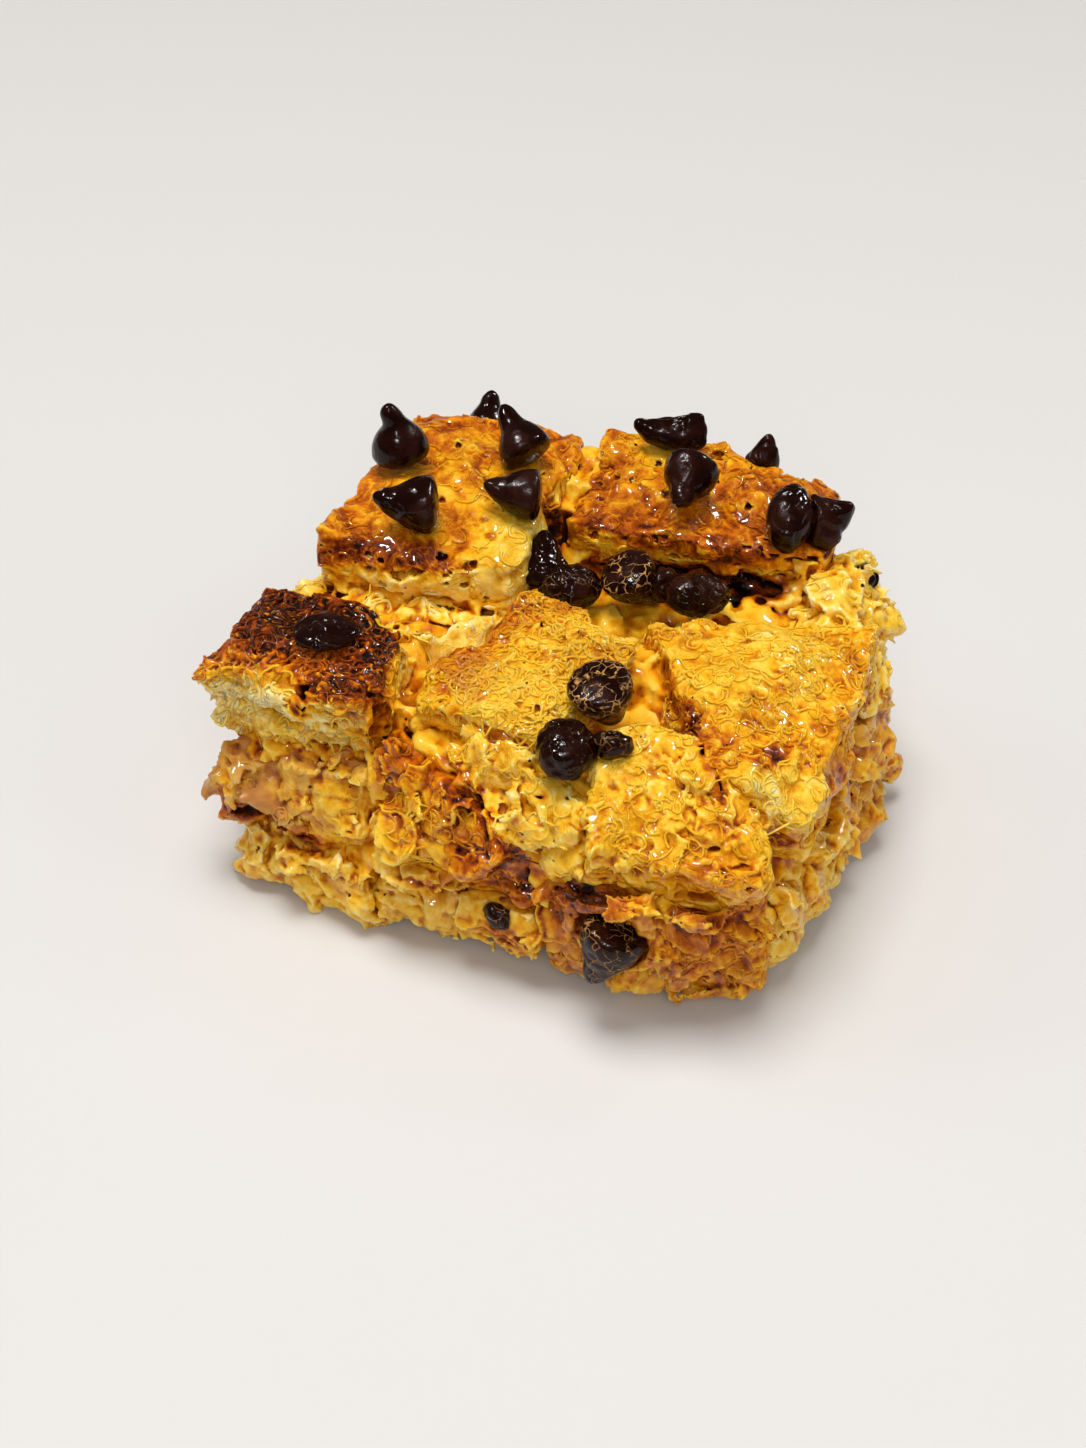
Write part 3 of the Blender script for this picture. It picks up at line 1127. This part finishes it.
def darken_seams(meshes):
    """Bakes the points that lie close to another mesh darker."""
    points = np.concatenate([points_of(mesh) for mesh in meshes])
    counts = [len(mesh.vertices) for mesh in meshes]
    owner = np.repeat(2 ** np.arange(len(meshes)), counts)
    cells = np.floor(points / SEAM_CELL).astype(np.int64)
    cells -= cells.min(0) - 1
    width = cells.max(0) + 2
    steps = np.array([width[1] * width[2], width[2], 1])
    keys = cells @ steps
    order = np.argsort(keys, kind="stable")
    found, starts = np.unique(keys[order], return_index=True)
    holders = np.bitwise_or.reduceat(owner[order], starts)
    near = np.zeros(len(points))
    offsets = [0] + [sign * step for step in steps for sign in (-1, 1)]
    for offset in offsets:
        place = np.minimum(np.searchsorted(found, keys + offset), len(found) - 1)
        shared = (found[place] == keys + offset) & ((holders[place] & ~owner) != 0)
        near += shared / len(offsets)
    for mesh, share in zip(meshes, np.split(near, np.cumsum(counts)[:-1])):
        bake = marked(mesh, "bake")
        mark(mesh, "bake", bake + np.maximum(SEAM_BAKE - bake, 0) * share * SEAM_SHARE)


darken_seams([piece.data for piece in pieces.values()])
print("seams darkened")

# %% [markdown]
# ## Loose strands
# Wet gluten lies on the torn faces in thin, curled strands, like short noodles, and a few longer
# threads of custard cross the seams. They are too thin for the field, so short arcs are scattered over
# the bread, bent by noise, laid down on it and given a square section that shades as round. Each one
# takes its bake from the bread under it.

# %% Where the strands lie
STRAND_SHARES = {
    "curly_cube": 1.0, "near_corner_cube": 0.35, "wide_slab_right": 0.45, "leaning_slice": 0.12,
    "pale_slab_under_toast": 0.15, "right_back_corner": 0.15, "crusted_slice_front": 0.25,
    "torn_corner_shred": 0.45, "left_front_cube": 0.08, "dark_crust_cube": 0.40,
    "toast_slab_right": 0.14, "toast_slab_left": 0.12, "near_corner_crumb": 0.20,
}
THREAD_SHARES = {
    "curly_cube": 1.0, "wide_slab_right": 0.6, "near_corner_cube": 0.8, "toast_slab_left": 0.3,
    "toast_slab_right": 0.3, "pale_slab_under_toast": 0.5, "leaning_slice": 0.6,
    "crusted_slice_front": 0.6, "torn_corner_shred": 1.0, "left_front_cube": 0.4,
}
STRAND_SLOPE = (-0.20, 0.50)
STRAND_TILT = 0.3
STRAND_SIZES = (0.5, 1.4)
STRAND_BEND_SIZE = 1.3 * MM
STRAND_SIDES = 4
FLOOR_CLEARANCE = 0.1 * MM
STRAND_PALER = 0.02
print(len(STRAND_SHARES), "nodes with strands,", len(THREAD_SHARES), "with threads")

# %% [markdown]
# The bed is one mesh of all the bread that carries strands. Each of its points knows its share, which
# is higher where the bread faces up and lies open, and nought inside the darkest hollows.

# %% Strands over a bed of bread


def joined(meshes, name, marks):
    """One mesh of several, with the named numbers of their points."""
    values = {mark_name: np.concatenate([marked(mesh, mark_name) for mesh in meshes]) for mark_name in marks}
    work = bmesh.new()
    for mesh in meshes:
        work.from_mesh(mesh)
    together = mesh_of(work, name)
    for mark_name, numbers in values.items():
        mark(together, mark_name, numbers)
    return together


def strand_bed(shares, name):
    """The bread surfaces that carry strands, with the share of strands that each point gets."""
    meshes = [pieces[node].data for node in shares]
    for mesh, share in zip(meshes, shares.values()):
        upward = smooth(*STRAND_SLOPE, normals_of(mesh)[:, 2])
        mark(mesh, "strands", share * marked(mesh, "shown") * upward * (1 - marked(mesh, "pit")))
    return joined(meshes, name, ("strands", "bake", "soak"))


def strand_tree():
    """Short bent arcs over a surface."""
    tree, w, given, result = new_tree(
        "Loose strands", "GeometryNodeTree",
        [("Bed", SHAPE), ("Per square mm", NUMBER), ("Loop", NUMBER), ("Sweep", NUMBER),
         ("Thickness", NUMBER), ("Lift", NUMBER), ("Bend", NUMBER), ("Points", WHOLE), ("Seed", WHOLE),
         ("Finish", FINISH)], [("Piece", SHAPE)])
    bed, seed = given["Bed"], given["Seed"]
    per_metre = w.math("DIVIDE", given["Per square mm"], MM * MM)
    spread = w.node("GeometryNodeDistributePointsOnFaces",
                    {"Mesh": bed, "Density": w.times(w.named("strands", "FLOAT"), per_metre), "Seed": seed},
                    distribute_method="RANDOM").outputs
    upright = w.node("FunctionNodeAlignRotationToVector", {"Vector": spread["Normal"]}, axis="Z")
    tilts = {0: (-STRAND_TILT, -STRAND_TILT, 0.0), 1: (STRAND_TILT, STRAND_TILT, 6.28), "Seed": seed}
    turned = w.node("FunctionNodeRandomValue", tilts, data_type="FLOAT_VECTOR")
    rotation = w.node("FunctionNodeRotateRotation", {0: upright.outputs[0], 1: turned.outputs[0]},
                      rotation_space="LOCAL").outputs[0]
    arc = w.node("GeometryNodeCurveArc", {"Resolution": given["Points"], "Radius": given["Loop"],
                                          "Sweep Angle": given["Sweep"]}, mode="RADIUS")
    size = w.node("FunctionNodeRandomValue", {2: STRAND_SIZES[0], 3: STRAND_SIZES[1]}, data_type="FLOAT")
    strands = w.node("GeometryNodeInstanceOnPoints", {
        "Points": spread["Points"], "Instance": arc.outputs["Curve"], "Rotation": rotation,
        "Scale": size.outputs[1]})
    loose = w.node("GeometryNodeRealizeInstances", {0: strands.outputs[0]}).outputs[0]
    here = w.node("GeometryNodeInputPosition").outputs[0]
    spot = w.moved(here, w.wobble(here, STRAND_BEND_SIZE, 1.0, given["Bend"]))
    below = w.nearest(bed, **{"Source Position": spot})["Position"]
    outward = w.sampled(bed, w.node("GeometryNodeInputNormal").outputs[0], spot, "FLOAT_VECTOR")
    bent = w.node("GeometryNodeSetPosition", {
        "Geometry": loose, "Position": w.moved(below, w.scaled(outward, given["Lift"]))})
    section = w.node("GeometryNodeCurvePrimitiveCircle",
                     {"Resolution": STRAND_SIDES, "Radius": given["Thickness"]})
    tube = w.node("GeometryNodeCurveToMesh", {
        "Curve": bent.outputs[0], "Profile Curve": section.outputs["Curve"], "Fill Caps": True})
    w.feed(result[0], finished(w, tube.outputs[0], given["Finish"]))
    return tree


STRANDS = strand_tree()


def scattered(name, shares, **values):
    """Strands over the bread, as one closed mesh in true size."""
    mesh = shaped(worker_from(strand_bed(shares, name), name), STRANDS, values)
    points = points_of(mesh)
    points[:, 2] = np.maximum(points[:, 2], FLOOR_CLEARANCE)
    mesh.vertices.foreach_set("co", points.ravel())
    mark(mesh, "bake", np.clip(marked(mesh, "bake") - STRAND_PALER, 0.05, 0.9))
    for mark_name, value in (("rise", 0.1), ("fine_rise", 0.0), ("net", 0.0)):
        mark(mesh, mark_name, np.full(len(points), value))
    hand_over(worker_from(mesh, name), "bread_crumb")
    print(name, len(mesh.polygons), "faces")


scattered("curled_strands", STRAND_SHARES, Finish=CRUMB, Seed=3, Points=9, **{
    "Per square mm": 0.46, "Loop": 1.2 * MM, "Sweep": 3.4, "Thickness": 0.23 * MM, "Lift": 0.05 * MM,
    "Bend": 0.9 * MM})
scattered("long_threads", THREAD_SHARES, Finish=CRUMB, Seed=8, Points=16, **{
    "Per square mm": 0.04, "Loop": 2.8 * MM, "Sweep": 1.9, "Thickness": 0.14 * MM, "Lift": 0.12 * MM,
    "Bend": 1.4 * MM})

# %% [markdown]
# ## Chocolate
# A chip is a drop: a flat foot, a round belly, a narrow neck and a small knob that leans to one side.
# Where it melted, it sags into folds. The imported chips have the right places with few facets, so they
# are subdivided, the neck is drawn in with a little arithmetic, and Geometry Nodes adds the folds.
# Each row says how deep the neck and the folds are, and how much pale custard film clings to the chip.

# %% How each chip melted


def chip(way=None, neck=0.0, lean=(0, 0, 0), fold=0.10, film=0.0):
    """Where a chip's tip points, how its neck is drawn in, where the tip leans, and its folds."""
    return dict(way=way, neck=neck, lean=lean, fold=fold, film=film)


CHIPS = {
    "chip_upright": chip((-0.16, -0.05, 1.0), 0.30, (-1.0, -0.4, 0.0), 0.04),
    "chip_back_tilted": chip((-0.72, 0.35, 0.50), 0.22, (-0.5, 0.2, 0.3), 0.04),
    "chip_left_lying": chip((-0.86, -0.50, 0.02), 0.12, (0.0, 0.0, 0.6), 0.26),
    "chip_point_left": chip((-0.90, -0.43, 0.06), 0.08, (0.0, 0.0, 0.5), 0.04),
    "chip_slab_heart": chip((0.12, -0.84, -0.30), 0.14, (0.3, 0.0, 0.0), 0.22),
    "chip_valley_disc": chip((0.35, 0.36, -0.86), 0.1, fold=0.10, film=0.40),
    "chip_custard_veil": chip((0.10, 0.22, -0.97), 0.1, fold=0.15, film=0.65),
    "chip_near_front": chip((-0.14, -0.22, -0.96), 0.1, (-0.5, 0.0, 0.0), 0.30, 0.18),
    "chip_valley_left": chip((-0.30, 0.55, 0.78), 0.12, fold=0.40),
    "chip_behind_slab": chip((-0.25, 0.60, 0.75), 0.20, (0.3, 0.0, 0.0)),
    "chip_back_face": chip((0.30, -0.90, 0.25), 0.15, fold=0.2),
    "chip_left_face": chip((0.88, 0.20, 0.35), 0.15, fold=0.2),
    "chip_back_low": chip((-0.35, -0.85, -0.30), 0.15, fold=0.2),
    "chip_flat_dark": chip(fold=0.45),
    "chip_horned": chip(fold=0.35),
    "chip_back_spike": chip(fold=0.2),
    "chip_edge_long": chip(fold=0.28),
    "chip_edge_torn": chip(fold=0.45),
    "chip_valley_dark": chip(fold=0.60, film=0.08),
    "chip_valley_small": chip(fold=0.45),
    "chip_valley_lobed": chip(fold=0.60, film=0.05),
    "chip_pressed_large": chip(fold=0.60, film=0.04),
    "chip_pressed_small": chip(fold=0.50, film=0.1),
    "chip_right_lump": chip(fold=0.4),
    "chip_buried_front": chip(fold=0.3, film=0.25),
}
print(len(CHIPS), "rows of chips")

# %% [markdown]
# The folds are a sine of slow noise, so they wrap round a chip like the rings of a melted drop. The
# finish lays a web of pale custard threads over the chips that have a film.

# %% Folds and chocolate
CHIP_LEVELS = 3
NECK_AT = 0.70
NECK_REACH = 0.17
FOLD_SIZE = 4.2 * MM
FOLD_TURNS = 10.0
DENT_SIZE = 1.1 * MM
DENT_SHARE = 0.25
FOLD_MIDDLE = 0.6
DARK_CHOCOLATE = (22, 4, 1)
PALER_CHOCOLATE = (42, 14, 6)
FILM_COLOUR = (190, 138, 76)
WEB_SIZE = 1.8 * MM


def melted_tree():
    """Folds and small dents over a subdivided chip."""
    tree, w, given, result = new_tree(
        "Melted chocolate", "GeometryNodeTree",
        [("Chip", SHAPE), ("Fold depth", NUMBER), ("Seed", NUMBER), ("Finish", FINISH)], [("Piece", SHAPE)])
    here = w.node("GeometryNodeInputPosition").outputs[0]
    place = w.moved(here, w.node("ShaderNodeCombineXYZ", {2: given["Seed"]}).outputs[0])
    slow = w.noise(place, FOLD_SIZE, 1.0, 0.8)
    folds = w.math("ABSOLUTE", w.math("SINE", w.times(slow, FOLD_TURNS)))
    dents = w.times(w.noise(place, DENT_SIZE, 2.0), DENT_SHARE)
    depth = w.times(w.minus(w.plus(folds, dents), FOLD_MIDDLE), given["Fold depth"])
    push = w.scaled(w.node("GeometryNodeInputNormal").outputs[0], depth)
    pushed = w.node("GeometryNodeSetPosition", {"Geometry": given["Chip"], "Offset": push})
    w.feed(result[0], finished(w, pushed.outputs[0], given["Finish"]))
    return tree


def chocolate_finish():
    """Dark chocolate with a film of custard where the mesh says so."""
    made, w, shader = new_finish("dark_chocolate")
    place = w.node("ShaderNodeTexCoord").outputs["Object"]
    cloudy = w.noise(place, 4 * MM, 3.0, 0.5)
    colour = blend(w, "MIX", w.span(cloudy, 0.4, 0.7), linear(DARK_CHOCOLATE), linear(PALER_CHOCOLATE))
    warp = w.scaled(w.noise(place, 2.2 * MM, 2.0, 0.0, "Color"), 2.0 * MM)
    web = w.cells(w.moved(place, warp), WEB_SIZE, feature="DISTANCE_TO_EDGE")
    broken = w.span(w.noise(place, 2.4 * MM, 2.0), 0.42, 0.56)
    threads = w.times(w.span(web["Distance"], 0.05, 0.015), broken)
    streaks = w.noise(w.vector("MULTIPLY", place, (1.0, 1.0, 2.2)), 1.6 * MM, 4.0, 1.6)
    share = attribute(w, "film")
    veil = w.span(w.plus(streaks, w.times(share, 0.3)), 0.74, 0.90)
    film = w.math("MAXIMUM", w.times(threads, w.span(share, 0.0, 0.3)), veil)
    uneven = w.plus(w.noise(place, 1.8 * MM, 3.0, 1.0), film)
    bump = w.node("ShaderNodeBump", {"Distance": 0.12 * MM, "Height": uneven})
    fill(w, shader, {
        "Base Color": blend(w, "MIX", film, colour, linear(FILM_COLOUR)), "Normal": bump.outputs[0],
        "Roughness": w.span(cloudy, 0.35, 0.65, 0.10, 0.26), "Specular IOR Level": 0.24})
    return made


MELTED = melted_tree()
CHOCOLATE = chocolate_finish()

# %% [markdown]
# Subdivision rounds a packed chip but also shrinks it, so the finished chip is stretched back to the
# box of its node. The neck is drawn in along the chip's own axis before the folds are added.

# %% Rounding the chips


def move_points(mesh, points):
    """Puts a mesh's points in new places."""
    mesh.vertices.foreach_set("co", points.astype(np.float32).ravel())
    mesh.update()


def fit_to_box(mesh, node):
    """Stretches the mesh back to its node's box, because subdivision shrinks it."""
    low, high = (np.array(corner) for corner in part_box(node))
    points = points_of(mesh)
    share = (points - points.min(0)) / (points.max(0) - points.min(0))
    move_points(mesh, low + share * (high - low))


def draw_neck(mesh, row):
    """Draws in the chip under its tip and lets the tip lean."""
    points = points_of(mesh).astype(float)
    middle = points.mean(0)
    axis = np.array(Vector(row["way"]).normalized())
    along = (points - middle) @ axis
    height = (along - along.min()) / (along.max() - along.min())
    spine = middle + along[:, None] * axis
    drawn = 1 - row["neck"] * np.exp(-((height - NECK_AT) / NECK_REACH) ** 2)
    points = spine + (points - spine) * drawn[:, None]
    points += smooth(0.6, 1.0, height)[:, None] * np.array(row["lean"]) * MM
    move_points(mesh, points)


def melted_chip(seed, node):
    """A rounded, folded copy of a chip."""
    row = CHIPS[node]
    name = node + "_glossy"
    worker = worker_from(merged_copy([node], node), name)
    rounder = worker.modifiers.new("rounder", "SUBSURF")
    rounder.levels = CHIP_LEVELS
    rounder.render_levels = CHIP_LEVELS
    mesh = settled(worker)
    if row["neck"]:
        draw_neck(mesh, row)
    mesh = shaped(worker_from(mesh, name), MELTED,
                  {"Fold depth": row["fold"] * MM, "Seed": seed * SEED_STEP, "Finish": CHOCOLATE})
    fit_to_box(mesh, node)
    mark(mesh, "film", np.full(len(mesh.vertices), row["film"]))
    return hand_over(worker_from(mesh, name), "chocolate", node)


chips = [melted_chip(seed, node) for seed, node in enumerate(CHIP_NODES)]
print("chips", len(chips), "faces", sum(len(c.data.polygons) for c in chips))

# %% [markdown]
# ## Light and floor
# The pudding stands on a plain pale floor. A large soft lamp hangs above it, three more stand in front,
# to the left and to the right, and a little light comes from all round to fill the shadows. Wet food
# also needs small, sharp glints, so three small lamps only show as reflections. The view is set to
# Standard, which keeps colours as they are set.

# %% Light and floor
FLOOR_SIZE = 4.0
# Each row: a name, the way to the lamp, its distance and size in metres, its power, and whether it
# lights the pudding or shows as a glint.
LAMPS = (
    ("overhead_soft_box", (-0.08, 0.04, 1.0), 1.4, 0.77, 19.2, True, False),
    ("front_soft_box", (0.45, -0.85, 0.75), 1.3, 0.80, 6.0, True, False),
    ("left_soft_box", (-0.90, -0.25, 0.55), 1.3, 0.90, 3.0, True, False),
    ("right_soft_box", (0.90, 0.20, 0.60), 1.3, 0.90, 2.0, True, False),
    ("spark_left", (-0.45, -0.10, 0.90), 1.0, 0.12, 6.0, False, True),
    ("spark_back", (0.35, 0.65, 0.70), 1.0, 0.12, 5.0, False, True),
    ("spark_front", (0.10, -0.60, 0.90), 1.0, 0.10, 2.5, False, True),
)
ROUND_LIGHT = 0.08
WARM_WHITE = (1.0, 0.985, 0.97, 1.0)
FLOOR_COLOUR = (208, 205, 201)

floor_mesh = bpy.data.meshes.new("floor")
half = FLOOR_SIZE / 2
floor_mesh.from_pydata([(-half, -half, 0), (half, -half, 0), (half, half, 0), (-half, half, 0)], [],
                       [(0, 1, 2, 3)])
floor = worker_from(floor_mesh, "floor")
paper, w, shader = new_finish("floor")
shader.inputs["Base Color"].default_value = linear(FLOOR_COLOUR)
shader.inputs["Roughness"].default_value = 0.7
floor_mesh.materials.append(paper)


def lamp(name, way, distance, size, power, lights, glints):
    """A round lamp that looks at the pudding. It may light it, or only show as glints on it."""
    disk = bpy.data.lights.new(name, "AREA")
    disk.shape = "DISK"
    disk.size = size
    disk.energy = power
    made = bpy.data.objects.new(name, disk)
    bpy.context.scene.collection.objects.link(made)
    towards = Vector(way).normalized()
    made.location = towards * distance
    made.rotation_mode = "QUATERNION"
    made.rotation_quaternion = towards.to_track_quat("Z", "Y")
    made.visible_diffuse = lights
    made.visible_glossy = glints


for row in LAMPS:
    lamp(*row)
world = bpy.data.worlds.new("room")
bpy.context.scene.world = world
world.use_nodes = True
sky = world.node_tree.nodes["Background"].inputs
sky["Color"].default_value = WARM_WHITE
sky["Strength"].default_value = ROUND_LIGHT
print(len(LAMPS), "lamps")
bpy.context.scene.view_settings.view_transform = "Standard"
